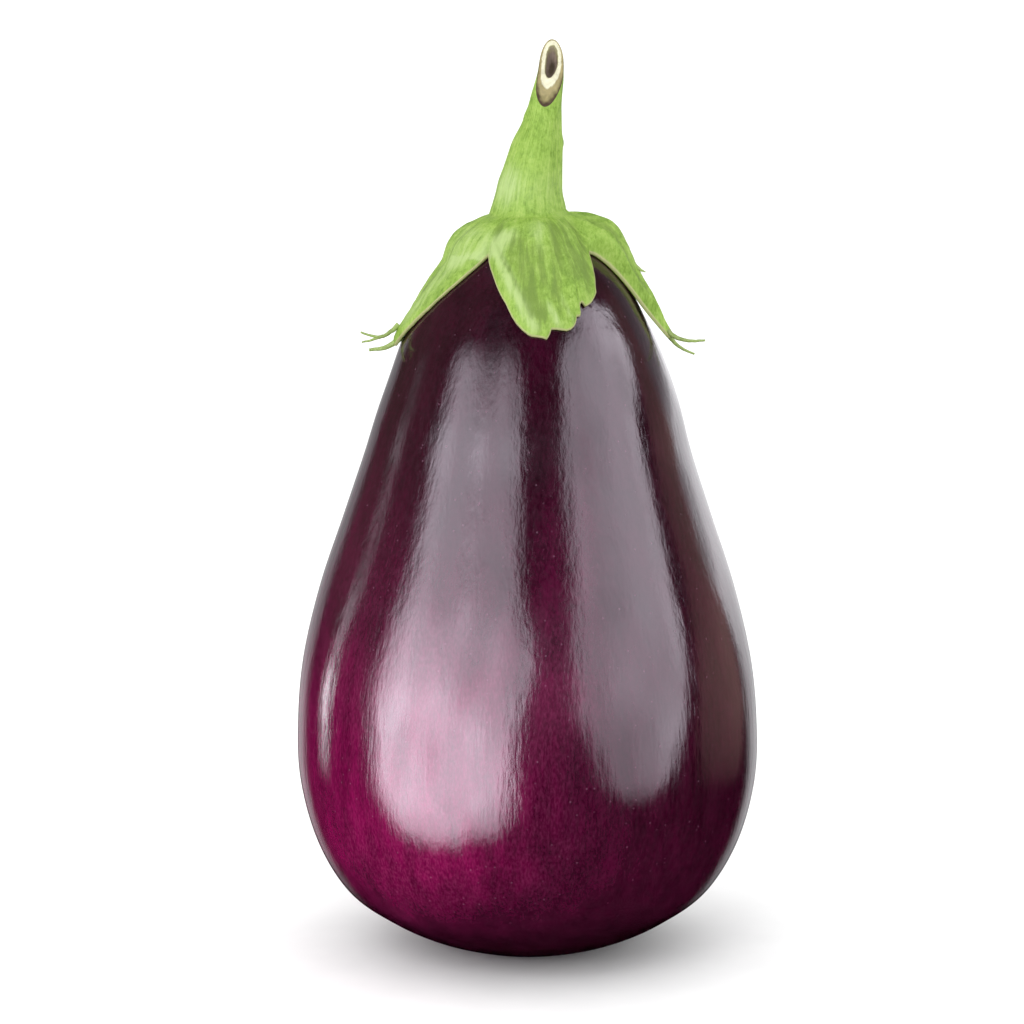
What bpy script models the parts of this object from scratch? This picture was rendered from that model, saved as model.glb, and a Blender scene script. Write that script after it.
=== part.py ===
"""A globe eggplant standing on its blossom end: the fruit, and its green cap with the cut stalk.

Metres, +Z up. The origin is the centre of the flat spot that the fruit rests on.
"""

import math

import bmesh
import bpy
from mathutils import Matrix, Vector

MM = 0.001

# Fruit: half widths and heights of its outline in mm, from the resting spot up to the top of the shoulders.
FRUIT_OUTLINE = [
    (13.0, 0.0), (19.6, 1.7), (26.9, 4.4), (34.5, 8.6), (42.6, 15.0), (48.8, 26.0), (52.3, 40.0), (52.6, 54.0),
    (51.2, 68.0), (47.4, 84.0), (42.0, 100.0), (37.3, 114.0), (33.4, 126.0), (28.8, 139.5), (26.2, 147.0),
    (23.4, 152.0), (20.4, 156.0), (16.8, 159.5), (12.8, 162.1), (7.5, 164.1), (0.0, 165.0),
]
FRUIT_STEPS = 64
FRUIT_RINGS = 40
FRUIT_LOBING = 0.009
GAP = 0.3

# Stalk: height, half width and sideways lean of its sections in mm, from the cap up past the cut.
STALK_SECTIONS = [
    (171.4, 8.2, 0.0), (175.3, 7.1, 0.2), (180.6, 6.2, 1.1), (187.7, 4.8, 2.5), (193.9, 3.7, 3.8),
    (199.0, 3.25, 4.6), (204.0, 3.05, 5.1), (210.0, 2.9, 5.5),
]
STALK_RIDGES = 5
STALK_RIDGE_HEIGHT = 0.05
CUT_POINT = (5.2, 0.0, 200.2)
CUT_SLANT = math.radians(25)
CUT_FROM = 186.0
PITH_RADII = (1.15, 3.0)
PITH_DEPTH = 2.6

# Cap: distances in mm along the fruit's shoulder from its top, and heights above it.
COLLAR_DISTANCE = 9.0
COLLAR_HEIGHT = 6.2
NOTCH_DISTANCE = 16.6
NOTCH_HEIGHT = 1.7
VALLEY_HEIGHT = 3.4
EDGE_THICKNESS = 0.9
SPOKES = 110
CAP_RINGS = 12
UNDER_RINGS = 7

# Sepals, round from the photographed front (0 degrees faces -Y, 90 faces +X): where each starts, its tip, how far
# the tip reaches, the share left where the tip is torn off, how uneven its edge is, how its two sides taper (1 is
# straight, less is fuller, more is hollow), the heights of its crest along the way, and how far its tip lifts off.
SEPALS = [
    dict(start=-34, tip=6, reach=38.4, torn=0.93, uneven=0.55, taper=(0.8, 0.72),
         crest=(6.2, 4.4, 2.6, 1.7, 1.5, 1.3), lift=0.0),
    dict(start=60, tip=88, reach=41.6, torn=1.0, uneven=0.15, taper=(1.6, 1.0),
         crest=(6.2, 7.1, 4.9, 3.9, 3.7, 3.5), lift=2.3),
    dict(start=118, tip=150, reach=38.0, torn=1.0, uneven=0.3, taper=(0.85, 0.9),
         crest=(6.0, 5.6, 3.6, 2.2, 1.9, 2.0), lift=0.8),
    dict(start=181, tip=212, reach=39.5, torn=1.0, uneven=0.3, taper=(1.0, 0.8),
         crest=(5.8, 5.2, 3.2, 2.0, 1.8, 2.0), lift=0.8),
    dict(start=243, tip=273, reach=42.5, torn=1.0, uneven=0.2, taper=(0.9, 0.86),
         crest=(5.0, 4.2, 1.5, 1.2, 1.5, 2.5), lift=1.4),
]

# Threads: dried sepal tips as tubes. Each grows from a place on its sepal, given by its angle and how far short of
# the tip it is, and then follows points in mm.
THREAD_RADIUS = 0.45
THREADS = [
    (1, -1.5, 4.0, [(32.6, -1.4, 141.6), (36.0, -2.2, 139.9), (38.4, -2.6, 139.8), (40.2, -2.8, 140.0)]),
    (1, 1.0, 1.5, [(32.8, 0.8, 139.4), (35.2, 1.2, 137.5), (37.8, 1.6, 136.6)]),
    (4, 4.0, 3.5, [(-31.6, -3.0, 141.2), (-33.4, -3.6, 140.4), (-35.4, -4.0, 140.8), (-37.9, -4.4, 141.1)]),
    (4, -1.0, 1.5, [(-31.2, -0.4, 138.6), (-33.2, -0.6, 137.9), (-35.6, -0.6, 137.9)]),
]
THORN_ROOT = (22.9, -0.6, 156.3)
THORN_TIP = (26.2, -1.0, 156.6)


def catmull_rom(points, steps):
    """Points along a smooth curve through the given ones, with the same number of steps between each pair."""
    ends = [tuple(2 * a - b for a, b in zip(points[0], points[1])),
            tuple(2 * a - b for a, b in zip(points[-1], points[-2]))]
    row = [ends[0], *points, ends[1]]
    curve = []
    for p0, p1, p2, p3 in zip(row, row[1:], row[2:], row[3:]):
        for step in range(steps):
            t = step / steps
            curve.append(tuple(
                0.5 * (2 * b + (c - a) * t + (2 * a - 5 * b + 4 * c - d) * t * t + (3 * b - 3 * c + d - a) * t ** 3)
                for a, b, c, d in zip(p0, p1, p2, p3)))
    return curve + [tuple(points[-1])]


def lengths_along(curve):
    """The distance of each point from the curve's start."""
    total, row = 0.0, [0.0]
    for a, b in zip(curve, curve[1:]):
        total += math.dist(a, b)
        row.append(total)
    return row


def point_at(curve, lengths, distance):
    """The curve's point and direction at a distance from its start."""
    index = next((i for i, length in enumerate(lengths) if length >= distance), len(lengths) - 1)
    index = max(index, 1)
    part = (distance - lengths[index - 1]) / (lengths[index] - lengths[index - 1])
    a, b = curve[index - 1], curve[index]
    here = tuple(p + (q - p) * part for p, q in zip(a, b))
    step = lengths[index] - lengths[index - 1]
    return here, tuple((q - p) / step for p, q in zip(a, b))


def between(values, position):
    """A smooth value at a position from 0 to 1 along evenly spread values."""
    curve = catmull_rom([(v,) for v in values], 8)
    place = min(max(position, 0.0), 1.0) * (len(curve) - 1)
    low = min(int(place), len(curve) - 2)
    return curve[low][0] + (curve[low + 1][0] - curve[low][0]) * (place - low)


OUTLINE = catmull_rom(FRUIT_OUTLINE, 6)
SHOULDER = OUTLINE[::-1]
SHOULDER_LENGTHS = lengths_along(SHOULDER)


def lobed(angle, height):
    """How far the fruit is from round: soft lobes, strongest at its widest, that turn a little as they rise."""
    turn = angle + 0.004 * height
    soft = math.sin(math.pi * min(max(height / 165.0, 0.0), 1.0))
    return 1.0 + FRUIT_LOBING * soft * (0.4 * math.cos(2 * turn - 0.5) - 0.6 * math.cos(3 * turn + 0.9))


def over_shoulder(angle, distance, height):
    """The point at a height above the fruit's surface, at a distance from the top of its shoulder."""
    (radius, z), (across, down) = point_at(SHOULDER, SHOULDER_LENGTHS, distance)
    radius = radius * lobed(angle, z) - down * height
    z += across * height
    return radius * math.sin(angle), -radius * math.cos(angle), z


def in_collection(name):
    collection = bpy.data.collections.get(name) or bpy.data.collections.new(name)
    if name not in bpy.context.scene.collection.children:
        bpy.context.scene.collection.children.link(collection)
    return collection


def add_object(name, mesh, collection):
    obj = bpy.data.objects.new(name, mesh)
    in_collection(collection).objects.link(obj)
    return obj


def apply_modifiers(obj):
    """Replaces the object's mesh with the one that its modifiers make."""
    graph = bpy.context.evaluated_depsgraph_get()
    graph.update()
    mesh = bpy.data.meshes.new_from_object(obj.evaluated_get(graph))
    obj.modifiers.clear()
    obj.data = mesh
    return mesh


def finish(name, color, roughness):
    """A Principled material for one piece."""
    material = bpy.data.materials.new(name)
    material.use_nodes = True
    shader = material.node_tree.nodes["Principled BSDF"]
    shader.inputs["Base Color"].default_value = (*color, 1.0)
    shader.inputs["Roughness"].default_value = roughness
    shader.inputs["Metallic"].default_value = 0.0
    return material


def make_fruit():
    """The outline turned once round, then eased into its soft lobes. Its lowest ring closes as the flat spot."""
    lengths = lengths_along(OUTLINE)
    rings = [point_at(OUTLINE, lengths, lengths[-1] * i / FRUIT_RINGS)[0] for i in range(FRUIT_RINGS + 1)]
    profile = [(0.0, 0.0), *rings[:-1], (0.0, FRUIT_OUTLINE[-1][1])]
    mesh = bpy.data.meshes.new("fruit")
    mesh.from_pydata([(r * MM, 0.0, z * MM) for r, z in reversed(profile)],
                     [(i, i + 1) for i in range(len(profile) - 1)], [])
    fruit = add_object("fruit", mesh, "eggplant")
    turned = fruit.modifiers.new("Turned", "SCREW")
    turned.steps = turned.render_steps = FRUIT_STEPS
    turned.use_merge_vertices = True
    turned.merge_threshold = 0.00001
    mesh = apply_modifiers(fruit)
    for vertex in mesh.vertices:
        x, y, z = vertex.co
        swell = lobed(math.atan2(x, -y), z / MM)
        vertex.co = (x * swell, y * swell, z)
    mesh.shade_smooth()
    mesh.materials.append(finish("aubergine_skin", (0.075, 0.012, 0.045), 0.2))
    return fruit


def sepal_at(angle):
    """The sepal that covers an angle in degrees, and how far across it the angle is, from -1 to 1."""
    for sepal, following in zip(SEPALS, SEPALS[1:] + [dict(SEPALS[0], start=SEPALS[0]["start"] + 360)]):
        if sepal["start"] <= angle <= following["start"]:
            tip = sepal["tip"]
            edge = sepal["start"] if angle < tip else following["start"]
            return sepal, (angle - tip) / abs(edge - tip)
    raise ValueError(f"no sepal at {angle}")


def reach_at(angle):
    """How far along the shoulder the cap's edge lies at an angle."""
    sepal, across = sepal_at(angle)
    share = min((1.0 - abs(across)) ** sepal["taper"][across > 0], sepal["torn"])
    wave = 0.6 * math.sin(0.55 * angle) + 0.4 * math.sin(0.31 * angle + 1.0)
    length = (sepal["reach"] - NOTCH_DISTANCE) * share
    return NOTCH_DISTANCE + length + sepal["uneven"] * wave * math.sqrt(share)


def cap_height(angle, distance, along):
    """The height of the cap's outer surface above the fruit: sepal crests with valleys between them."""
    sepal, across = sepal_at(angle)
    place = (distance - COLLAR_DISTANCE) / (sepal["reach"] - COLLAR_DISTANCE)
    crest = between(sepal["crest"], place)
    if distance < NOTCH_DISTANCE:
        inward = (distance - COLLAR_DISTANCE) / (NOTCH_DISTANCE - COLLAR_DISTANCE)
        valley = between((COLLAR_HEIGHT, VALLEY_HEIGHT, NOTCH_HEIGHT), inward)
    else:
        valley = NOTCH_HEIGHT
    valley = min(valley, crest)
    width = 1.0 - 0.55 * max(0.0, (distance - NOTCH_DISTANCE) / (sepal["reach"] - NOTCH_DISTANCE))
    ridge = max(0.0, 1.0 - (abs(across) / width) ** 2.2)
    height = valley + (crest - valley) * ridge
    edge = GAP + EDGE_THICKNESS + lift_at(angle, distance)
    return max(height + (edge - height) * along ** 6, edge)


def lift_at(angle, distance):
    """How far the sepal's underside rises off the fruit towards its tip."""
    sepal, across = sepal_at(angle)
    place = (distance - NOTCH_DISTANCE) / (sepal["reach"] - NOTCH_DISTANCE)
    return sepal["lift"] * max(0.0, place) ** 3 * (1.0 - 0.6 * abs(across))


def spoke_angles():
    """Angles in degrees of the spokes: as many to each side of a sepal as fit its width, with one on its tip."""
    edges = []
    for sepal, following in zip(SEPALS, SEPALS[1:] + [dict(SEPALS[0], start=SEPALS[0]["start"] + 360)]):
        edges += [(sepal["start"], sepal["tip"]), (sepal["tip"], following["start"])]
    angles = []
    for low, high in edges:
        count = round(SPOKES * (high - low) / 360)
        angles += [low + (high - low) * i / count for i in range(count)]
    return angles


def stalk_ring(height, half_width, lean, angles):
    """One ridged section of the stalk."""
    row = []
    for angle in angles:
        turn = math.radians(angle)
        ridge = 1.0 + STALK_RIDGE_HEIGHT * math.cos(STALK_RIDGES * (turn - math.radians(12)))
        row.append((lean + half_width * ridge * math.sin(turn), -half_width * ridge * math.cos(turn), height))
    return row


def cap_rings(angles):
    """The cap's outer rings from the collar to the edge, then its underside's rings back to the middle."""
    outer = []
    for ring in range(CAP_RINGS + 1):
        along = ring / CAP_RINGS
        row = []
        for angle in angles:
            distance = COLLAR_DISTANCE + (reach_at(angle) - COLLAR_DISTANCE) * along
            row.append(over_shoulder(math.radians(angle), distance, cap_height(angle, distance, along)))
        outer.append(row)
    under = []
    for ring in range(UNDER_RINGS):
        along = 1.0 - ring / UNDER_RINGS
        row = []
        for angle in angles:
            distance = reach_at(angle) * along
            row.append(over_shoulder(math.radians(angle), distance, GAP + lift_at(angle, distance)))
        under.append(row)
    return outer, under


def make_shell():
    """Stalk and cap as one closed loft of unlike sections: down the stalk, round the edge and back under."""
    angles = spoke_angles()
    sections = catmull_rom(STALK_SECTIONS, 2)
    outer, under = cap_rings(angles)
    rings = [stalk_ring(*section, angles) for section in reversed(sections)] + outer + under
    count = len(angles)
    bm = bmesh.new()
    rows = [[bm.verts.new(Vector(point) * MM) for point in ring] for ring in rings]
    for upper, lower in zip(rows, rows[1:]):
        for i in range(count):
            j = (i + 1) % count
            bm.faces.new((upper[i], lower[i], lower[j], upper[j]))
    bm.faces.new(rows[0])
    middle = bm.verts.new(Vector(over_shoulder(0.0, 0.0, GAP)) * MM)
    for i in range(count):
        bm.faces.new((rows[-1][i], middle, rows[-1][(i + 1) % count]))
    bmesh.ops.recalc_face_normals(bm, faces=bm.faces)
    cut_stalk(bm)
    mesh = bpy.data.meshes.new("calyx_and_stalk")
    bm.to_mesh(mesh)
    bm.free()
    return add_object("calyx_and_stalk", mesh, "eggplant")


def cut_stalk(bm):
    """The slanted knife cut, which faces the front. Its plane would reach a sepal, so it cuts only the stalk."""
    away = Vector((0.0, -math.cos(CUT_SLANT), math.sin(CUT_SLANT)))
    stalk = [face for face in bm.faces if face.calc_center_median().z > CUT_FROM * MM]
    parts = {part for face in stalk for part in (*face.verts, *face.edges)}
    cut = bmesh.ops.bisect_plane(bm, geom=[*parts, *stalk], dist=1e-6, plane_co=Vector(CUT_POINT) * MM,
                                 plane_no=away, clear_outer=True)
    rim = [part for part in cut["geom_cut"] if isinstance(part, bmesh.types.BMEdge)]
    bmesh.ops.contextual_create(bm, geom=rim)


def make_pith_cutter():
    """A tapered oval plug, square to the cut, that leaves the pith's hollow."""
    bpy.ops.mesh.primitive_cone_add(vertices=20, radius1=0.55, radius2=1.0, depth=2.0)
    cutter = bpy.context.object
    cutter.name = "pith_cutter"
    turn = Matrix.Rotation(math.pi / 2 - CUT_SLANT, 4, "X")
    size = Matrix.Diagonal((PITH_RADII[0] * MM, PITH_RADII[1] * MM, PITH_DEPTH * MM, 1.0))
    place = Vector(CUT_POINT) + Vector((0.2, 0.0, 1.6))
    cutter.data.transform(Matrix.Translation(place * MM) @ turn @ size)
    cutter.hide_render = True
    cutter.display_type = "WIRE"
    for collection in cutter.users_collection:
        collection.objects.unlink(cutter)
    in_collection("cutters").objects.link(cutter)
    return cutter


def make_tube(name, points, radii):
    """A thread as a curve with filled caps, made a mesh whose caps are welded."""
    curve = bpy.data.curves.new(name, "CURVE")
    curve.dimensions = "3D"
    curve.bevel_depth = THREAD_RADIUS * MM
    curve.bevel_resolution = 1
    curve.use_fill_caps = True
    route = catmull_rom(points, 3)
    spline = curve.splines.new("POLY")
    spline.points.add(len(route) - 1)
    for i, (place, point) in enumerate(zip(route, spline.points)):
        point.co = (*(c * MM for c in place), 1.0)
        point.radius = radii[0] + (radii[1] - radii[0]) * i / (len(route) - 1)
    guide = bpy.data.objects.new(name, curve)
    bpy.context.scene.collection.objects.link(guide)
    graph = bpy.context.evaluated_depsgraph_get()
    mesh = bpy.data.meshes.new_from_object(guide.evaluated_get(graph))
    bm = bmesh.new()
    bm.from_mesh(mesh)
    bmesh.ops.remove_doubles(bm, verts=bm.verts, dist=1e-7)
    bmesh.ops.recalc_face_normals(bm, faces=bm.faces)
    bm.to_mesh(mesh)
    bm.free()
    tube = add_object(name, mesh, "growths")
    tube.matrix_world = guide.matrix_world
    bpy.data.objects.remove(guide)
    return tube


def make_calyx():
    """The cap and stalk, with the threads and the thorn grown into it and the pith hollow cut out of it."""
    calyx = make_shell()
    for number, (sepal, aside, short, points) in enumerate(THREADS):
        angle, distance = SEPALS[sepal]["tip"] + aside, SEPALS[sepal]["reach"] - short
        height = GAP + EDGE_THICKNESS / 2 + lift_at(SEPALS[sepal]["tip"], distance)
        root = over_shoulder(math.radians(angle), distance, height)
        make_tube(f"thread_{number + 1}", [root, *points], (1.4, 0.8))
    make_tube("thorn", [THORN_ROOT, THORN_TIP], (2.4, 0.6))
    grown = calyx.modifiers.new("Grown on", "BOOLEAN")
    grown.operation = "UNION"
    grown.operand_type = "COLLECTION"
    grown.collection = bpy.data.collections["growths"]
    apply_modifiers(calyx)
    for growth in list(bpy.data.collections["growths"].objects):
        bpy.data.objects.remove(growth)
    bpy.data.collections.remove(bpy.data.collections["growths"])
    hollow = calyx.modifiers.new("Pith hollow", "BOOLEAN")
    hollow.operation = "DIFFERENCE"
    hollow.object = make_pith_cutter()
    calyx.data.shade_smooth()
    calyx.data.set_sharp_from_angle(angle=math.radians(50))
    calyx.data.materials.append(finish("green_calyx", (0.33, 0.52, 0.12), 0.6))
    return calyx


for leftover in list(bpy.data.objects):
    bpy.data.objects.remove(leftover)
make_fruit()
make_calyx()
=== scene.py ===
"""A globe eggplant, as picked, standing on a white table between soft studio lights.

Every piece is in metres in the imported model's own frame: +Z up, the fruit's resting spot at the origin and
the photographed front facing -Y. The eggplant's sizes are in mm and become metres through MM. Those of the
table, the lights and the camera are in metres.
"""

import math

import bpy
import numpy as np
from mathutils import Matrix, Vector, noise


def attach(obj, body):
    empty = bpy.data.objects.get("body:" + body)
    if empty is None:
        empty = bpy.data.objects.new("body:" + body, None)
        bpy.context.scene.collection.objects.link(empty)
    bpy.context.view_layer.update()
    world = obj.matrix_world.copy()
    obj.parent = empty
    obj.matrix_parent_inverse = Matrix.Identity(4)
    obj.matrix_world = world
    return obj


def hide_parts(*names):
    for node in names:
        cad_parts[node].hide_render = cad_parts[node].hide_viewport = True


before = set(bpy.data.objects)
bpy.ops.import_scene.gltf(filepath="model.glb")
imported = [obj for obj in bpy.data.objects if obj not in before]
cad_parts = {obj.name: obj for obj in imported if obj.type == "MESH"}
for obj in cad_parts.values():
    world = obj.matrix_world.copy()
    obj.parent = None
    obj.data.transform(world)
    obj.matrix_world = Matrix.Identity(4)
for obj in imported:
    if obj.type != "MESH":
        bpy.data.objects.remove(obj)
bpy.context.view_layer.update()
MM = 0.001

# Fruit
# One glossy berry, grown in one piece: a pear-shaped body, shoulders that run on under the cap, and a small
# flat resting spot with a corky blossom scar in the middle. Its outline is extruded point by point and spun
# round.

OUTLINE_POINTS = [
    (0.0, 0.0), (6.5, 0.0), (13.0, 0.0), (19.6, 1.7), (26.9, 4.4), (34.5, 8.6), (42.6, 15.0), (48.8, 26.0),
    (52.3, 40.0), (52.6, 54.0), (51.2, 68.0), (47.4, 84.0), (42.0, 100.0), (37.3, 114.0), (33.8, 126.0),
    (28.9, 139.5), (25.3, 147.0), (22.5, 152.0), (19.6, 156.0), (16.3, 159.4), (12.5, 162.0), (7.5, 164.1),
    (0.0, 165.0),
]
OUTLINE_STEP = 1.5
FRUIT_SPOKES = 128
FRUIT_HEIGHT = 165.0
# Soft lobes: how far from round as a share of its width, and how many radians they turn by for each mm.
LOBING = 0.009
LOBE_TURN = 0.004
# The neck leans a little to its right: how far, at which height, and over how much of its height.
LEAN = 0.5
LEAN_HEIGHT = 131.0
LEAN_SPREAD = 12.0
# Slight dents: how deep, how broad and how long, and the radius and height over which they fade in.
DENT_HEIGHT = 0.32
DENT_SIZE = (26.0, 60.0)
DENT_FADE = (30.0, 12.0)
SCAR_RADIUS = 3.2
SCAR_DEPTH = 0.7


def smooth_curve(points, step):
    """Points about a step apart along a smooth curve through the given ones."""
    points = np.array(points, float)
    row = np.vstack([2 * points[0] - points[1], points, 2 * points[-1] - points[-2]])
    curve = []
    for p0, p1, p2, p3 in zip(row, row[1:], row[2:], row[3:]):
        count = max(1, round(float(np.linalg.norm(p2 - p1)) / step))
        for t in np.arange(count)[:, None] / count:
            curve.append(0.5 * (2 * p1 + (p2 - p0) * t + (2 * p0 - 5 * p1 + 4 * p2 - p3) * t * t
                                + (3 * p1 - 3 * p2 + p3 - p0) * t ** 3))
    return np.array([*curve, points[-1]])


def lobed(angle, height):
    """How far the fruit is from round: soft lobes, strongest at mid-height, that turn as they rise."""
    turn = angle + LOBE_TURN * height
    soft = np.sin(np.pi * np.clip(height / FRUIT_HEIGHT, 0.0, 1.0))
    return 1.0 + LOBING * soft * (0.4 * np.cos(2 * turn - 0.5) - 0.6 * np.cos(3 * turn + 0.9))


def leaned(height):
    """How far the fruit's neck leans to its right at a height."""
    return LEAN * np.exp(-((height - LEAN_HEIGHT) / LEAN_SPREAD) ** 2)


def start_modelling():
    """Clears the selection, so that an operator acts only on the new piece."""
    bpy.ops.object.select_all(action="DESELECT")


def finish_piece(name, slot, *nodes):
    """Names the active object, rides it on the only body and hides the CAD nodes it stands for."""
    piece = bpy.context.object
    piece.name = piece.data.name = name
    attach(piece, "root")
    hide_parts(*nodes)
    return piece


def spin_fruit():
    """The outline as a chain of extruded points, spun round the fruit's axis."""
    outline = smooth_curve(OUTLINE_POINTS, OUTLINE_STEP) * MM
    start_modelling()
    bpy.ops.mesh.primitive_plane_add(size=0.01, location=(0.0, 0.0, 0.0))
    bpy.ops.object.mode_set(mode="EDIT")
    bpy.ops.mesh.merge(type="CENTER")
    for (x0, z0), (x1, z1) in zip(outline, outline[1:]):
        bpy.ops.mesh.extrude_region_move(TRANSFORM_OT_translate={"value": (x1 - x0, 0.0, z1 - z0)})
    bpy.ops.mesh.select_all(action="SELECT")
    bpy.ops.mesh.spin(steps=FRUIT_SPOKES, angle=2 * math.pi, center=(0, 0, 0), axis=(0, 0, 1))
    bpy.ops.mesh.select_all(action="SELECT")
    bpy.ops.mesh.remove_doubles(threshold=0.00002)
    bpy.ops.mesh.normals_make_consistent(inside=False)
    bpy.ops.object.mode_set(mode="OBJECT")
    smooth = bpy.context.object.modifiers.new("Smooth", "SUBSURF")
    smooth.levels = smooth.render_levels = 1
    bpy.ops.object.modifier_apply(modifier=smooth.name)
    return bpy.context.object


def ease_fruit(mesh):
    """Lobes, slight dents drawn out along the fruit, and the blossom scar's hollow in the resting spot."""
    for vertex in mesh.vertices:
        x, y, z = vertex.co / MM
        swell = float(lobed(math.atan2(x, -y), z))
        sample = Vector((x / DENT_SIZE[0], y / DENT_SIZE[0], z / DENT_SIZE[1]))
        radius = math.hypot(x, y)
        fade = min(radius / DENT_FADE[0], 1.0) * min(max(z, 0.0) / DENT_FADE[1], 1.0)
        dent = DENT_HEIGHT * noise.noise(sample) * fade
        scale = swell + dent / max(radius, 1.0)
        scar = SCAR_DEPTH * max(0.0, 1.0 - (radius / SCAR_RADIUS) ** 2) ** 2
        vertex.co = Vector((x * scale + float(leaned(z)), y * scale, max(z, 0.0) + scar)) * MM


fruit = spin_fruit()
ease_fruit(fruit.data)
bpy.ops.object.shade_smooth()
fruit = finish_piece("fruit_skin", "aubergine_skin", "fruit")


def node_setter(tree):
    """Adds nodes to a tree: add(type, inputs, settings), where an input may be a value or a socket."""
    def add(kind, inputs=(), **settings):
        node = tree.nodes.new(kind)
        for key, value in settings.items():
            setattr(node, key, value)
        for key, value in dict(inputs).items():
            if isinstance(value, bpy.types.NodeSocket):
                tree.links.new(value, node.inputs[key])
            else:
                node.inputs[key].default_value = value
        return node
    return add


def new_material(name, **values):
    """A material with its Principled shader's own values set, its adder and its shader."""
    material = bpy.data.materials.new(name)
    material.use_nodes = True
    shader = material.node_tree.nodes["Principled BSDF"]
    for key, value in values.items():
        shader.inputs[key.replace("_", " ")].default_value = value
    return material, node_setter(material.node_tree), shader


def ramp(add, factor, *stops):
    """A colour ramp through (position, colour) stops."""
    node = add("ShaderNodeValToRGB", {"Fac": factor})
    elements = node.color_ramp.elements
    while len(elements) < len(stops):
        elements.new(1.0)
    for element, (position, color) in zip(elements, stops):
        element.position = position
        element.color = (*color, 1.0) if isinstance(color, tuple) else (color, color, color, 1.0)
    return node.outputs["Color"]


def mix(add, factor, first, second, blend="MIX"):
    """Mixes two colours."""
    node = add("ShaderNodeMix", data_type="RGBA", blend_type=blend)
    tree = node.id_data
    for socket, value in zip((node.inputs[0], node.inputs[6], node.inputs[7]), (factor, first, second)):
        if isinstance(value, bpy.types.NodeSocket):
            tree.links.new(value, socket)
        else:
            socket.default_value = value if isinstance(value, (int, float)) else (*value, 1.0)
    return node.outputs[2]


def math_node(add, operation, first, second=0.0):
    """One step of arithmetic on a value or two."""
    return add("ShaderNodeMath", {0: first, 1: second}, operation=operation).outputs[0]


def product(add, *values):
    """Values multiplied together."""
    result = values[0]
    for value in values[1:]:
        result = math_node(add, "MULTIPLY", result, value)
    return result


def total(add, *values):
    """Values added up."""
    result = values[0]
    for value in values[1:]:
        result = math_node(add, "ADD", result, value)
    return result


def weighted(add, *parts):
    """The sum of values, each times its share, from (share, value) pairs."""
    return total(add, *(product(add, value, share) for share, value in parts))


def away_from(add, value, middle):
    """How far a value is from a middle one, either way."""
    return math_node(add, "ABSOLUTE", math_node(add, "SUBTRACT", value, middle))


def ranged(add, value, low, high, to_low=0.0, to_high=1.0):
    """A value eased from one range to another."""
    inputs = {"Value": value, "From Min": low, "From Max": high, "To Min": to_low, "To Max": to_high}
    return add("ShaderNodeMapRange", inputs, interpolation_type="SMOOTHSTEP").outputs["Result"]


def grain_group():
    """Growth grain for every surface here: a broad and a fine noise, drawn out along the fruit's axis."""
    tree = bpy.data.node_groups.new("growth_grain", "ShaderNodeTree")
    for name, kind, value in (("Vector", "NodeSocketVector", None), ("Around", "NodeSocketFloat", 400.0),
                              ("Along", "NodeSocketFloat", 60.0), ("Roughness", "NodeSocketFloat", 0.6)):
        socket = tree.interface.new_socket(name, in_out="INPUT", socket_type=kind)
        if value is not None:
            socket.default_value = value
    for name in ("Broad", "Fine"):
        tree.interface.new_socket(name, in_out="OUTPUT", socket_type="NodeSocketFloat")
    add = node_setter(tree)
    entry, leave = add("NodeGroupInput"), add("NodeGroupOutput")
    place = add("ShaderNodeSeparateXYZ", {0: entry.outputs["Vector"]})
    around = entry.outputs["Around"]
    stretched = add("ShaderNodeCombineXYZ", {
        "X": math_node(add, "MULTIPLY", place.outputs["X"], around),
        "Y": math_node(add, "MULTIPLY", place.outputs["Y"], around),
        "Z": math_node(add, "MULTIPLY", place.outputs["Z"], entry.outputs["Along"]),
    }).outputs[0]
    for name, scale, detail in (("Broad", 0.3, 3.0), ("Fine", 1.6, 5.0)):
        speckle = add("ShaderNodeTexNoise", {
            "Vector": stretched, "Scale": scale, "Detail": detail, "Roughness": entry.outputs["Roughness"]})
        tree.links.new(speckle.outputs["Fac"], leave.inputs[name])
    return tree


GRAIN = grain_group()


def grain(add, vector, around, along, roughness=0.6):
    """The growth grain's broad and fine values, at a scale round the fruit's axis and one along it."""
    node = add("ShaderNodeGroup", node_tree=GRAIN)
    node.id_data.links.new(vector, node.inputs["Vector"])
    for key, value in (("Around", around), ("Along", along), ("Roughness", roughness)):
        node.inputs[key].default_value = value
    return node.outputs["Broad"], node.outputs["Fine"]


SKIN_DARK = (0.014, 0.0012, 0.005)
SKIN_WINE = (0.047, 0.0012, 0.0158)
SKIN_MAGENTA = (0.132, 0.0016, 0.041)
# The colour of the pale pinpricks, and of the pale haze that is partly painted sheen.
SKIN_SPECK_AND_SHEEN = (0.42, 0.2, 0.32)
# Where the skin reddens, in mm: from one height down to another, from its foot up, which painted shade
# darkens, and from one side to the other, with painted light on the left and painted shade on the right.
RED_HEIGHTS = (130.0, 30.0)
SHADED_FOOT_HEIGHT = 34.0
PAINTED_LIGHT_SIDES = (28.0, -24.0)
# Near the foot the painted shade on the right side reaches further round: how much, and the heights where
# this starts to fade and ends.
SHADED_SHIFT = 10.0
SHADED_HEIGHTS = (4.0, 40.0)
# Two redder places down the front: how far across and how high the middle is, how far from there it ends and
# is full, across and up, and its strength.
BLUSHES = [
    (2.2, 145.0, (6.0, 1.0), (13.0, 2.0), 0.14),
    (8.0, 85.0, (10.0, 3.0), (36.0, 12.0), 0.26),
]


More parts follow.
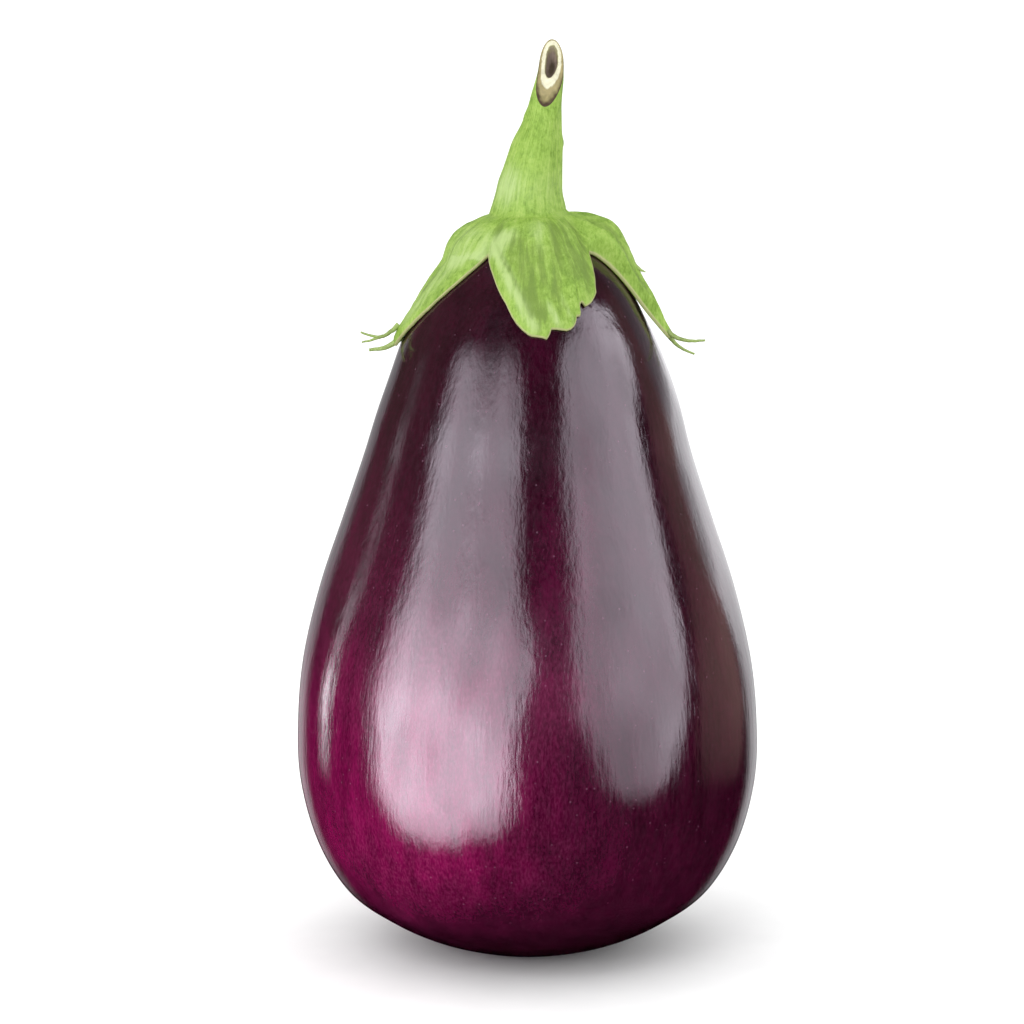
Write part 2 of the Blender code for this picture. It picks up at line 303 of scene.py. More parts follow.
def skin_redness_and_light(add, place, clouds):
    """How red and how lit the skin is, from 0 for dark to 1 for magenta: with its cloudy patches, and without
    them.
    """
    across, _, height = add("ShaderNodeSeparateXYZ", {0: place}).outputs

    def sloped(value, ends, low, high):
        return ranged(add, value, ends[0] * MM, ends[1] * MM, low, high)

    # Painted light on the left, painted shade on the right and at the foot; the rest is the skin's own
    # redness.
    aside = total(add, across, sloped(height, SHADED_HEIGHTS, SHADED_SHIFT * MM, 0.0))
    lit = product(add, sloped(height, RED_HEIGHTS, 0.05, 1.05), sloped(height, (0.0, SHADED_FOOT_HEIGHT), 0.3, 1.0),
                  sloped(aside, PAINTED_LIGHT_SIDES, 0.2, 1.0))
    for middle, level, ends_across, ends_up, strength in BLUSHES:
        near_across = sloped(away_from(add, across, middle * MM), ends_across, 0.0, 1.0)
        near_up = sloped(away_from(add, height, level * MM), ends_up, 0.0, strength)
        lit = total(add, lit, product(add, near_across, near_up))
    return total(add, product(add, math_node(add, "SUBTRACT", clouds, 0.5), 0.5), lit), lit


def skin_material():
    """Waxy aubergine skin: dark wine above, redder low down, with painted light on its left side and painted
    shade on its right and at its foot, fine lengthwise fibres, a thin waxy haze that is partly painted sheen
    where lit, and pale pinpricks."""
    material, add, shader = new_material(
        "aubergine_skin", Roughness=0.14, IOR=1.6, Specular_Tint=(0.98, 0.89, 1.0, 1.0))
    tree = material.node_tree
    place = add("ShaderNodeTexCoord").outputs["Object"]
    broad, fine = grain(add, place, 700.0, 150.0)
    _, flecks = grain(add, place, 1300.0, 500.0)
    clouds = add("ShaderNodeTexNoise", {"Vector": place, "Scale": 28.0, "Detail": 3.0}).outputs["Fac"]
    redness, lit = skin_redness_and_light(add, place, clouds)
    base = ramp(add, redness, (0.0, SKIN_DARK), (0.5, SKIN_WINE), (1.0, SKIN_MAGENTA))
    fibres = weighted(add, (0.5, broad), (0.5, flecks))
    base = mix(add, 1.0, base, ramp(add, fibres, (0.36, 0.55), (0.5, 1.0), (0.64, 1.5)), "MULTIPLY")
    cells = add("ShaderNodeTexVoronoi", {"Vector": place, "Scale": 560.0})
    chosen = add("ShaderNodeSeparateColor", {0: cells.outputs["Color"]}).outputs[0]
    dots = product(add, ranged(add, cells.outputs["Distance"], 0.17, 0.07), ranged(add, chosen, 0.45, 1.0))
    # A thin pale haze: partly the skin's waxy coat, partly painted sheen for the gloss's wide tail, stronger
    # where lit.
    bloom_and_sheen = product(add, ranged(add, flecks, 0.4, 0.7, 0.0, 0.045), ranged(add, clouds, 0.35, 0.62, 0.2, 1.0))
    bloom_and_sheen = product(add, bloom_and_sheen, ranged(add, lit, 0.1, 0.9, 0.05, 1.0))
    bloom_and_sheen = total(add, bloom_and_sheen, ranged(add, fine, 0.35, 0.65, 0.0, 0.008))
    base = mix(add, total(add, product(add, dots, 0.14), bloom_and_sheen), base, SKIN_SPECK_AND_SHEEN)
    tree.links.new(base, shader.inputs["Base Color"])
    gloss = total(add, ranged(add, fine, 0.3, 0.7, 0.08, 0.14), product(add, dots, 0.1))
    tree.links.new(gloss, shader.inputs["Roughness"])
    relief = weighted(add, (1.0, broad), (0.35, fine), (0.1, flecks))
    bump = add("ShaderNodeBump", {"Height": relief, "Strength": 0.36, "Distance": 0.0003})
    tree.links.new(bump.outputs["Normal"], shader.inputs["Normal"])
    return material


fruit.data.materials.clear()
fruit.data.materials.append(skin_material())

# Cap and stalk
# The green calyx and the stalk grew as one: a soft-ridged stalk, cut on a slant, flares into a cap of five
# fleshy sepals that lie on the fruit's shoulder. It is one sheet of rings and spokes, wrapped from the
# middle of its underside round the sepals' edge, up the stalk and over the cut into the pith.

# The stalk's side from its foot up, as height, half width and how far it leans to its right.
STALK_SECTIONS = [
    (168.8, 8.3, -0.15), (170.4, 7.9, 0.0), (173.2, 7.2, 0.1), (176.0, 6.85, 0.42), (178.8, 6.35, 0.95),
    (181.6, 5.9, 1.45), (184.3, 5.45, 1.9), (187.1, 4.75, 2.5), (189.9, 4.08, 3.2), (192.7, 3.68, 3.65),
    (195.4, 3.45, 4.1), (198.2, 3.15, 4.65), (201.0, 2.83, 5.0), (205.0, 2.75, 5.2), (212.0, 2.6, 5.3),
]
# Five soft ridges as a share of its width, and finer ribs, both gone where the stalk nears its cut.
STALK_RIDGE = 0.045
STALK_RIB = 0.10
RIDGE_FADE = (195.0, 8.0)
# Fine ribs: how closely they stand round, and over how many mm up each one changes.
RIB_SIZE = (9.0, 22.0)
# Small knots and dips on the stalk's side, as height, angle, how proud and how wide.
STALK_KNOTS = [
    (184.4, 92.0, 0.3, 1.1), (190.6, -85.0, 0.25, 1.2), (187.6, -70.0, -0.15, 1.5), (179.0, -20.0, 0.2, 2.0),
]
CUT_HEIGHT = 200.95
CUT_SLANT = math.radians(23.5)
CUT_BLEND_HEIGHT = 186.0
# Distances run along the fruit's surface from the top of its shoulder, and heights stand on that surface.
COLLAR_DISTANCE = 7.8
NOTCH_DISTANCE = 16.6
NOTCH_HEIGHT = 1.5
VALLEY_HEIGHT = 3.1
COLLAR_HEIGHT = 4.7
GAP = 0.15
EDGE_THICKNESS = 0.7
EDGE_ROUND = 1.3

# Each sepal from its first notch's angle to its tip: how far it reaches, how uneven and how pointed it is
# on its two sides, how far the tip's underside lifts off the fruit, and the heights of its crest from the
# collar to its tip.
SEPALS = [
    dict(start=-34, tip=6, reach=38.4, uneven=0.3, taper=(0.8, 0.72), lift=0.0,
         crest=(4.7, 4.6, 3.5, 2.5, 1.9, 1.6, 1.5, 1.4, 1.3)),
    dict(start=60, tip=88, reach=41.6, uneven=0.2, taper=(1.9, 1.0), lift=2.4,
         crest=(4.9, 6.6, 7.1, 5.5, 4.0, 3.7, 3.8, 3.5, 3.6)),
    dict(start=118, tip=150, reach=38.0, uneven=0.4, taper=(0.85, 0.9), lift=0.8,
         crest=(4.7, 5.4, 5.2, 3.9, 2.8, 2.1, 1.9, 1.9, 2.0)),
    dict(start=181, tip=212, reach=39.5, uneven=0.4, taper=(1.0, 0.8), lift=0.8,
         crest=(4.7, 5.2, 4.8, 3.6, 2.6, 2.0, 1.8, 1.9, 2.0)),
    dict(start=243, tip=273, reach=42.5, uneven=0.25, taper=(0.9, 0.86), lift=0.6,
         crest=(4.3, 4.4, 3.4, 1.2, 0.7, 0.9, 1.3, 1.7, 1.8)),
]
# The front sepal's torn edge, as angle and distance.
TORN_EDGE = [
    (-34, 16.6), (-30.5, 18.4), (-25.2, 21.0), (-18, 25.3), (-11.8, 29.3), (-7.8, 32.3), (-4, 34.6),
    (0, 36.2), (5.5, 36.5), (7.5, 37.1), (8.7, 36.4), (9.6, 35.7), (10.2, 34.7), (15, 34.9), (19, 35.1),
    (21.8, 34.2), (23.4, 32.8), (24.0, 31.8), (26.6, 32.1), (27.0, 29.6), (29.4, 28.5), (30.2, 29.8),
    (34.2, 29.2), (38.6, 27.6), (40.6, 26.8), (41.2, 25.6), (43.5, 24.1), (46.8, 21.5), (50.5, 19.2),
    (55, 17.2), (60, 16.2),
]
# Folds pressed into the cap and ridges raised on it: (distance, angle) points, depth and half width in mm.
# The folds also get painted shade and the ridges painted light.
FOLDS = [
    ([(14.0, -29.0), (16.4, -22.5), (21.8, -10.8), (27.2, -3.5), (31.3, 1.0), (35.6, 4.0)], 0.5, 0.5),
    ([(9.0, 27.0), (11.5, 24.8), (18.6, 18.5), (24.5, 16.5), (27.6, 15.8), (31.3, 19.5)], 0.4, 0.9),
    ([(9.0, 58.0), (13.7, 51.0), (20.5, 40.8), (25.1, 36.0), (27.8, 34.0)], 0.45, 1.1),
    ([(25.0, 12.0), (29.5, 14.0), (33.5, 17.5)], 0.3, 0.5),
    ([(9.0, -34.0), (13.0, -31.0)], 0.5, 1.0),
    ([(9.0, 100.0), (16.0, 98.0), (24.0, 95.0), (34.0, 92.0)], 0.45, 0.9),
    ([(11.0, 74.0), (20.0, 79.0), (30.0, 84.0)], 0.4, 0.9),
    ([(9.0, 268.0), (16.0, 264.0), (24.0, 266.0), (36.0, 270.0)], 0.4, 1.0),
    ([(11.0, 292.0), (19.0, 287.0), (29.0, 280.0)], 0.4, 1.0),
    ([(9.0, 132.0), (20.0, 137.0), (32.0, 145.0)], 0.45, 1.0),
    ([(9.0, 168.0), (20.0, 163.0), (30.0, 156.0)], 0.45, 1.0),
    ([(9.0, 196.0), (20.0, 201.0), (32.0, 207.0)], 0.45, 1.0),
    ([(9.0, 228.0), (18.0, 224.0), (28.0, 218.0)], 0.45, 1.0),
]
RIDGES = [
    ([(15.0, -27.0), (18.7, -20.5), (21.9, -14.5), (25.3, -9.5), (29.1, -4.0), (34.8, 2.0)], 0.3, 1.4),
    ([(29.0, 9.6), (32.3, 12.2), (34.6, 14.6)], 0.25, 0.8),
    ([(27.0, 18.0), (30.0, 19.0), (33.0, 21.5)], 0.2, 0.5),
    ([(18.0, 55.0), (22.0, 46.5), (27.0, 39.5)], 0.15, 0.5),
]
# Broad darker and paler places on the cap, given in the same way, with their strength instead of a depth:
# painted shade where the cap turns from the light or lies under the stalk, and painted light where it turns
# towards it.
SHADED = [
    ([(9.5, 38.0), (12.2, 32.2), (17.2, 28.0), (21.3, 28.2), (24.0, 28.5)], 0.6, 2.8),
    ([(15.0, 43.0), (17.5, 40.0), (21.0, 36.0)], 0.4, 2.0),
    ([(13.0, -13.0), (15.6, -10.2), (19.7, -6.5), (23.1, -2.8), (26.7, 0.5), (33.1, 6.5)], 1.0, 2.3),
    ([(16.0, 5.0), (20.0, 7.0), (25.0, 10.0)], 0.65, 2.2),
    ([(18.0, 62.0), (24.0, 67.0), (30.0, 74.0), (37.0, 80.0)], 0.55, 1.6),
    ([(9.0, 140.0), (20.0, 148.0), (30.0, 152.0)], 0.5, 3.0),
    ([(9.0, 205.0), (20.0, 212.0), (30.0, 216.0)], 0.5, 3.0),
]
PALE_LIT = [
    ([(12.0, -24.0), (13.9, -25.5), (16.8, -31.0), (18.6, -42.5), (19.1, -56.5)], 1.1, 3.0),
    ([(9.0, 6.0), (10.5, 8.0), (12.5, 8.0)], 0.45, 2.2),
    ([(12.0, 6.0), (15.0, 7.0), (17.0, 8.0)], 0.4, 1.2),
    ([(12.0, -60.0), (19.0, -62.0), (27.0, -72.0), (36.0, -82.0)], 0.5, 4.5),
    ([(26.0, 9.0), (30.0, 12.0), (34.0, 15.0)], 0.1, 1.6),
    ([(14.0, 118.0), (20.0, 122.0), (28.0, 132.0)], 0.6, 2.0),
    ([(14.0, 178.0), (20.0, 184.0), (28.0, 196.0)], 0.6, 2.0),
]
# The stalk's foot is paler all round, and painted light makes it paler still on its lit left: about which
# height and angle that is, how far it reaches both ways, and how pale the foot is elsewhere round.
PALE_FOOT = (175.0, -50.0)
PALE_FOOT_REACH = (4.5, 25.0)
PALE_FOOT_ROUND = 0.3
# The sheet's spokes, and its rings on the cap, up the stalk, on to the slanted cut, and underneath.
SPOKES = 340
CAP_RINGS = 70
STALK_RINGS = 26
CUT_RINGS = 34
UNDER_RINGS = 24
# Unevenness of the cap's surface, as height, size and the place in the noise.
UNEVEN = [(0.3, 6.0, 0.0), (0.12, 1.8, 9.0)]
CAP_RIB = 0.09
MIDRIB_HEIGHT = 0.22
# Half the length over which the fruit's slope is taken.
SLOPE_REACH = 0.8

SHOULDER = smooth_curve(OUTLINE_POINTS, 0.5)[::-1]
SHOULDER_LENGTHS = np.concatenate([[0.0], np.cumsum(np.linalg.norm(np.diff(SHOULDER, axis=0), axis=1))])
STALK_CURVE = smooth_curve(STALK_SECTIONS, 0.3)


def shoulder_point(distance):
    """The fruit's radius and height at a distance from the top of its shoulder."""
    return np.array([np.interp(distance, SHOULDER_LENGTHS, SHOULDER[:, axis]) for axis in (0, 1)])


def over_shoulder(angle, distance, height):
    """Points at a height above the fruit's surface, at a distance from the top of its shoulder."""
    radius, z = shoulder_point(distance)
    above = shoulder_point(np.maximum(distance - SLOPE_REACH, 0.0))
    across, down = shoulder_point(distance + SLOPE_REACH) - above
    length = np.hypot(across, down)
    radius = radius * lobed(angle, z) - down / length * height
    x, y = leaned(z) + radius * np.sin(angle), -radius * np.cos(angle)
    return np.stack([x, y, z + across / length * height], axis=-1)


def smooth_values(values, position):
    """Smooth values at positions from 0 to 1 along evenly spread values."""
    curve = smooth_curve(list(enumerate(values)), 0.1)
    return np.interp(np.clip(position, 0.0, 1.0) * (len(values) - 1), curve[:, 0], curve[:, 1])


def per_sepal(angles, work):
    """work(sepal, its angles, how far across it they are from -1 to 1, which they are), put together."""
    result = np.zeros_like(angles)
    starts = [sepal["start"] for sepal in SEPALS] + [SEPALS[0]["start"] + 360]
    for sepal, start, end in zip(SEPALS, starts, starts[1:]):
        inside = (angles >= start) & (angles <= end)
        chosen = angles[inside]
        tip = sepal["tip"]
        across = np.where(chosen < tip, (chosen - tip) / (tip - start), (chosen - tip) / (end - tip))
        result[inside] = work(sepal, chosen, across, inside)
    return result


def wobble(values, size, seed):
    """Repeatable unevenness between -1 and 1 along a row of values."""
    return np.array([noise.noise(Vector((v / size, seed, 0.0))) for v in values])


def sepal_reach(angles):
    """How far along the shoulder the cap's edge lies at each angle."""
    def work(sepal, chosen, across, _):
        if sepal is SEPALS[0]:
            length = np.interp(chosen, *zip(*TORN_EDGE)) - NOTCH_DISTANCE
        else:
            side = np.where(across > 0, sepal["taper"][1], sepal["taper"][0])
            length = (sepal["reach"] - NOTCH_DISTANCE) * (1.0 - np.abs(across)) ** side
        share = length / (sepal["reach"] - NOTCH_DISTANCE)
        rough = sepal["uneven"] * (wobble(chosen, 5.0, 3.0) + 0.5 * wobble(chosen, 1.7, 7.0))
        rough = rough * np.sqrt(np.clip(share, 0.0, 1.0)) * np.clip(4 * (1 - share) + 0.3, 0, 1)
        return NOTCH_DISTANCE + length + rough
    return per_sepal(angles, work)


def spoke_angles():
    """Angles in degrees of the spokes, closer together where the edge runs steeply to a sepal's tip."""
    fine = np.linspace(SEPALS[0]["start"], SEPALS[0]["start"] + 360, 3601)
    steep = np.abs(np.diff(sepal_reach(fine))) + 0.35 * np.diff(fine)
    summed = np.concatenate([[0.0], np.cumsum(steep)])
    return np.interp(np.arange(SPOKES) / SPOKES * summed[-1], summed, fine)


ANGLES = spoke_angles()
TURNS = np.radians(ANGLES)
REACH = sepal_reach(ANGLES)


def underside_lift(distance):
    """How far the sepals' undersides rise off the fruit towards their tips."""
    def work(sepal, _, across, inside):
        place = (distance[inside] - NOTCH_DISTANCE) / (sepal["reach"] - NOTCH_DISTANCE)
        return sepal["lift"] * np.clip(place, 0.0, None) ** 3 * (1.0 - 0.6 * np.abs(across))
    return per_sepal(ANGLES, work)


def fold_depth(distance, folds):
    """How deep the pressed folds, or how high the raised ridges, are at each spoke."""
    depth = np.zeros(SPOKES)
    radius = shoulder_point(distance)[0]
    for points, deep, half_width in folds:
        reach, angle = zip(*points)
        off = np.radians((ANGLES - np.interp(distance, reach, angle) + 180) % 360 - 180) * radius
        fade_in = np.clip((distance - reach[0] + 1.5) / 3.0, 0.0, 1.0)
        fade_out = np.clip((reach[-1] + 3.0 - distance) / 4.0, 0.0, 1.0)
        depth += deep * fade_in * fade_out * np.exp(-(off / half_width) ** 2)
    return depth


def cap_height(distance, edge_distance):
    """How high the cap's outer surface is above the fruit at each spoke: crests, folds and a thin edge."""
    def work(sepal, _, across, inside):
        here = distance[inside]
        crest = smooth_values(sepal["crest"], (here - COLLAR_DISTANCE) / (sepal["reach"] - COLLAR_DISTANCE))
        inward = (here - COLLAR_DISTANCE) / (NOTCH_DISTANCE - COLLAR_DISTANCE)
        valley = np.minimum(smooth_values((COLLAR_HEIGHT, VALLEY_HEIGHT, NOTCH_HEIGHT), inward), crest)
        along = np.clip((here - NOTCH_DISTANCE) / (sepal["reach"] - NOTCH_DISTANCE), 0.0, 1.0)
        width = 1.0 - 0.55 * along
        ridge = np.clip(1.0 - (np.abs(across) / width) ** 2.2, 0.0, 1.0)
        midrib = MIDRIB_HEIGHT * np.exp(-(across / (0.07 + 0.02 / width)) ** 2)
        return valley + (crest - valley) * ridge + midrib
    height = per_sepal(ANGLES, work) - fold_depth(distance, FOLDS) + fold_depth(distance, RIDGES)
    edge = GAP + EDGE_THICKNESS + underside_lift(distance)
    ease = np.clip(edge_distance / EDGE_ROUND, 0.0, 1.0)
    ease = ease * ease * (3.0 - 2.0 * ease)
    return edge + (np.maximum(height, edge + 0.1) - edge) * ease


def noise_row(points, size, seed):
    """Repeatable unevenness between -1 and 1 at each of a row of points in mm."""
    return np.array([noise.noise(Vector(p) / size + Vector((seed, 0.0, 0.0))) for p in points])


def ribs(height):
    """Fine lengthwise ribs, which follow the spokes."""
    round_way, up_way = RIB_SIZE
    samples = [Vector((math.cos(t) * round_way, math.sin(t) * round_way, height / up_way)) for t in TURNS]
    return np.array([noise.noise(sample) for sample in samples])


def stalk_side(height):
    """Points on the stalk's side, at a height for each spoke."""
    half_width, lean = (np.interp(height, STALK_CURVE[:, 0], STALK_CURVE[:, axis]) for axis in (1, 2))
    ridge = per_sepal(ANGLES, lambda sepal, _, across, __: np.cos(math.pi * across))
    middle = float(np.mean(height))
    fade = float(np.clip((RIDGE_FADE[0] - middle) / RIDGE_FADE[1], 0.0, 1.0))
    swell = half_width * (1.0 + STALK_RIDGE * fade * ridge) + STALK_RIB * fade * ribs(middle)
    for knot_height, knot_angle, proud, wide in STALK_KNOTS:
        off = half_width * ((TURNS - math.radians(knot_angle) + math.pi) % (2 * math.pi) - math.pi)
        swell = swell + proud * np.exp(-(off / (1.6 * wide)) ** 2 - ((height - knot_height) / wide) ** 2)
    return np.stack([lean + swell * np.sin(TURNS), -swell * np.cos(TURNS), height], axis=-1)


def cut_rim():
    """Heights at which the slanted cut meets the stalk's side."""
    height = np.full(SPOKES, CUT_HEIGHT)
    for _ in range(6):
        height = CUT_HEIGHT + stalk_side(height)[:, 1] / math.tan(CUT_SLANT)
    return height


# The cut end, as rings from the stalk's side in to the pith: share of the way out from the middle, and how
# far each stands proud of the cut. The dried bark rim curls up, the wood is near flat and the pith has
# shrunk to a hollow.
CUT_PROFILE = [
    (0.985, 0.06), (0.95, 0.08), (0.91, 0.02), (0.87, -0.10), (0.82, -0.14), (0.77, -0.06), (0.70, 0.0),
    (0.62, 0.03), (0.54, 0.02), (0.47, -0.05), (0.435, -0.3), (0.415, -0.8), (0.39, -1.4), (0.34, -1.9),
    (0.2, -2.2), (0.0, -2.25),
]
# How far the pith is off the cut's middle, up the cut and aside, how far in that is full, and the way it
# sinks.
PITH_SHIFT = 2.1
PITH_ASIDE = 0.3
PITH_FROM = 0.58
PITH_WAY = np.array([0.0, -0.42, 0.9])


def cut_rings():
    """The slanted cut face and the pith's hollow, ring by ring from the rim inwards."""
    rim = stalk_side(cut_rim())
    middle = rim.mean(axis=0)
    up_the_cut = np.array([0.0, math.sin(CUT_SLANT), math.cos(CUT_SLANT)])
    out_of_cut = np.array([0.0, -math.cos(CUT_SLANT), math.sin(CUT_SLANT)])
    rings = []
    for share, proud in CUT_PROFILE:
        inner = 1.0 - share
        ring = middle + (rim - middle) * share
        ring = ring + (up_the_cut * PITH_SHIFT + (PITH_ASIDE, 0.0, 0.0)) * min(inner / PITH_FROM, 1.0)
        shaky = 0.06 * noise_row(ring, 1.1, 5.0) * min(share * 3.0, 1.0)
        away = out_of_cut if proud > -0.25 else PITH_WAY
        rings.append(ring + out_of_cut * shaky[:, None] + away * proud)
    return rings


def sheet_rings():
    """All the rings of the cap and stalk in order, and the shades that each one's colours need."""
    rings, shades = [], []

    def take(points, path, edge=0.0, cut=0.0, crease_shade=0.0, ridge=0.0):
        rings.append(points)
        shades.append([value + 0.0 * TURNS for value in (path, edge, cut, crease_shade, ridge)])

    for ring in range(UNDER_RINGS + 1):
        distance = REACH * ring / UNDER_RINGS
        take(over_shoulder(TURNS, distance, GAP + underside_lift(distance)), distance)
    for part in (0.3, 0.7):
        height = GAP + underside_lift(REACH) + EDGE_THICKNESS * part
        take(over_shoulder(TURNS, REACH + 0.12, height), REACH, 1.0)
    slope = np.gradient(REACH) / np.gradient(TURNS) / shoulder_point(REACH)[0]
    for ring in range(CAP_RINGS + 1):
        along = 1.0 - ring / CAP_RINGS
        distance = COLLAR_DISTANCE + (REACH - COLLAR_DISTANCE) * along
        edge_distance = (REACH - distance) / np.sqrt(1.0 + slope * slope)
        points = over_shoulder(TURNS, distance, cap_height(distance, edge_distance))
        swell = sum(high * noise_row(points, size, seed) for high, size, seed in UNEVEN)
        swell += CAP_RIB * ribs(171.6 - COLLAR_DISTANCE - 26.0 * along)
        swell *= np.clip(edge_distance / 1.5, 0.15, 1.0)
        points = points + over_shoulder(TURNS, distance, swell) - over_shoulder(TURNS, distance, 0.0 * swell)
        # Painted shade in the folds and shaded places, painted light on the ridges and lit places.
        creases = np.clip(fold_depth(distance, FOLDS) / 0.6, 0.0, 0.7) + fold_depth(distance, SHADED)
        ridges = fold_depth(distance, RIDGES) / 0.35 + fold_depth(distance, PALE_LIT)
        take(points, distance, np.clip(1.0 - edge_distance / 1.1, 0.0, 1.0), 0.0, creases, ridges)
    low = STALK_SECTIONS[0][0]
    for ring in range(1, STALK_RINGS + 1):
        height = low + (CUT_BLEND_HEIGHT - low) * ring / STALK_RINGS
        # Painted light on the stalk's lit left foot, over its own paler foot all round.
        off = (ANGLES - PALE_FOOT[1] + 180) % 360 - 180
        pale = PALE_FOOT_ROUND + (1.0 - PALE_FOOT_ROUND) * np.exp(-(off / PALE_FOOT_REACH[1]) ** 2)
        pale = pale * math.exp(-((height - PALE_FOOT[0]) / PALE_FOOT_REACH[0]) ** 2)
        take(stalk_side(np.full(SPOKES, height)), COLLAR_DISTANCE + low - height, 0.0, 0.0, 0.0, pale)
    rim_height = cut_rim()
    for ring in range(1, CUT_RINGS + 1):
        height = CUT_BLEND_HEIGHT + (rim_height - CUT_BLEND_HEIGHT) * ring / CUT_RINGS
        take(stalk_side(height), COLLAR_DISTANCE + low - height)
    for (share, _), points in zip(CUT_PROFILE, cut_rings()):
        front = np.cos(TURNS)
        middle = math.sin(math.pi * min((1.0 - share) / 0.6, 1.0))
        ragged = 0.05 * noise_row(points, 0.9, 2.0) * min((1.0 - share) / 0.1, 1.0)
        rim = 0.08 * np.clip(-front, 0.0, 1.0) * (share > 0.8)
        depth = 1.1 - share - 0.12 * front * middle + rim + ragged
        take(points, COLLAR_DISTANCE + low - rim_height, 0.0, depth)
    return rings, shades


def wrap_grid(rings):
    """A grid with its rows laid on the rings and its columns on the spokes, so that its two sides meet."""
    start_modelling()
    rows = len(rings) - 1
    bpy.ops.mesh.primitive_grid_add(x_subdivisions=SPOKES, y_subdivisions=rows, size=1.0)
    mesh = bpy.context.object.data
    places = [(round((v.co.y + 0.5) * rows), round((v.co.x + 0.5) * SPOKES) % SPOKES) for v in mesh.vertices]
    for vertex, (row, column) in zip(mesh.vertices, places):
        vertex.co = Vector(rings[row][column]) * MM
    return mesh, places


# Streaks of growth run out along the sepals and up the stalk. Their pattern is laid round a circle of this
# radius in mm, whatever the ring's own, and runs on along the spokes at this share of the true distance.
GROWTH_ROUND = 20.0
GROWTH_STRETCH = 0.16

rings, shades = sheet_rings()
mesh, places = wrap_grid(rings)
for index, name in enumerate(("sepal_edge", "cut_depth", "crease_shade", "ridge")):
    layer = mesh.attributes.new(name, "FLOAT", "POINT")
    layer.data.foreach_set("value", [float(shades[row][index + 1][column]) for row, column in places])
growth = [(GROWTH_ROUND * math.sin(TURNS[column]), -GROWTH_ROUND * math.cos(TURNS[column]),
           GROWTH_STRETCH * shades[row][0][column]) for row, column in places]
mesh.attributes.new("growth", "FLOAT_VECTOR", "POINT").data.foreach_set("vector", np.ravel(growth))
bpy.ops.object.mode_set(mode="EDIT")
bpy.ops.mesh.select_all(action="SELECT")
bpy.ops.mesh.remove_doubles(threshold=0.000002)
bpy.ops.mesh.normals_make_consistent(inside=False)
bpy.ops.object.mode_set(mode="OBJECT")
bpy.ops.object.shade_smooth()
cap = finish_piece("cap_and_stalk", "green_calyx", "calyx_and_stalk")

GREEN_DARK = (0.11, 0.215, 0.012)
GREEN_MID = (0.215, 0.35, 0.046)
GREEN_PALE = (0.32, 0.45, 0.10)
GREEN_EDGE = (0.36, 0.35, 0.17)
# Painted shade for the creases and shaded places, and painted light for the ridges, flap and lit places.
GREEN_SHADE = (0.125, 0.20, 0.03)
GREEN_LIT = (0.365, 0.485, 0.18)
BARK_DRY = (0.05, 0.026, 0.012)
BARK_OLIVE = (0.20, 0.17, 0.07)
CORTEX = (0.31, 0.26, 0.12)
WOOD = (0.66, 0.64, 0.47)
PITH_RIM = (0.24, 0.23, 0.10)
PITH = (0.20, 0.15, 0.12)
PITH_DARK = (0.05, 0.035, 0.02)


def green_material():
    """Fresh calyx and stalk: finely mottled yellow-green, streaked along its growth, with pale sepal edges,
    painted light on its ridges and lit places, painted shade in its creases and shaded places, and the cut's
    dried bark, khaki cortex, cream wood and shrunken pith."""
    material, add, shader = new_material("green_calyx", Roughness=0.55, Specular_IOR_Level=0.22)
    place = add("ShaderNodeTexCoord").outputs["Object"]
    broad, fine = grain(add, place, 1500.0, 520.0, 0.68)
    large = add("ShaderNodeTexNoise", {"Vector": place, "Scale": 120.0, "Detail": 3.0}).outputs["Fac"]
    patches = add("ShaderNodeTexNoise", {
        "Vector": place, "Scale": 560.0, "Detail": 6.0, "Roughness": 0.72, "Distortion": 0.6,
    }).outputs["Fac"]
    growth = add("ShaderNodeAttribute", attribute_name="growth").outputs["Vector"]
    streaks = add("ShaderNodeTexNoise", {
        "Vector": growth, "Scale": 0.75, "Detail": 4.0, "Roughness": 0.65, "Distortion": 0.3,
    }).outputs["Fac"]
    tone = weighted(add, (0.12, large), (0.27, patches), (0.21, streaks), (0.14, broad), (0.26, fine))
    base = ramp(add, tone, (0.41, GREEN_DARK), (0.5, GREEN_MID), (0.6, GREEN_PALE))
    edge, cut, crease_shade, ridge = (add("ShaderNodeAttribute", attribute_name=name).outputs["Fac"]
                                for name in ("sepal_edge", "cut_depth", "crease_shade", "ridge"))
    # Painted shade in creases and shaded places, painted light on ridges and lit places.
    crease_shade = product(add, crease_shade, ranged(add, streaks, 0.36, 0.62, 1.35, 0.55))
    ridge = product(add, ridge, ranged(add, streaks, 0.38, 0.62, 0.75, 1.35))
    base = mix(add, ranged(add, crease_shade, 0.0, 1.1, 0.0, 0.85), base, GREEN_SHADE)
    base = mix(add, ranged(add, ridge, 0.0, 1.1, 0.0, 0.88), base, GREEN_LIT)
    base = mix(add, ranged(add, edge, 0.7, 0.95, 0.0, 0.8), base, GREEN_EDGE)
    wood = ramp(add, cut, (0.12, BARK_DRY), (0.17, BARK_OLIVE), (0.22, CORTEX), (0.31, CORTEX), (0.35, WOOD),
                (0.58, WOOD), (0.64, PITH_RIM), (0.72, PITH), (0.95, PITH_DARK))
    wood = mix(add, 0.6, wood, mix(add, 1.0, wood, ramp(add, patches, (0.3, 0.6), (0.7, 1.25)), "MULTIPLY"))
    base = mix(add, ranged(add, cut, 0.05, 0.11), base, wood)
    tree = material.node_tree
    tree.links.new(base, shader.inputs["Base Color"])
    tree.links.new(ranged(add, patches, 0.3, 0.7, 0.48, 0.68), shader.inputs["Roughness"])
    relief = weighted(add, (0.5, patches), (0.4, fine), (0.6, streaks))
    bump = add("ShaderNodeBump", {"Height": relief, "Strength": 0.5, "Distance": 0.0006})
    tree.links.new(bump.outputs["Normal"], shader.inputs["Normal"])
    return material


cap.data.materials.clear()
cap.data.materials.append(green_material())

# Sepal threads
# The tips of the two side sepals have dried to thin curling threads, and a small thorn stands on the right
# sepal. Each is a tapered tube, and together they are one piece.

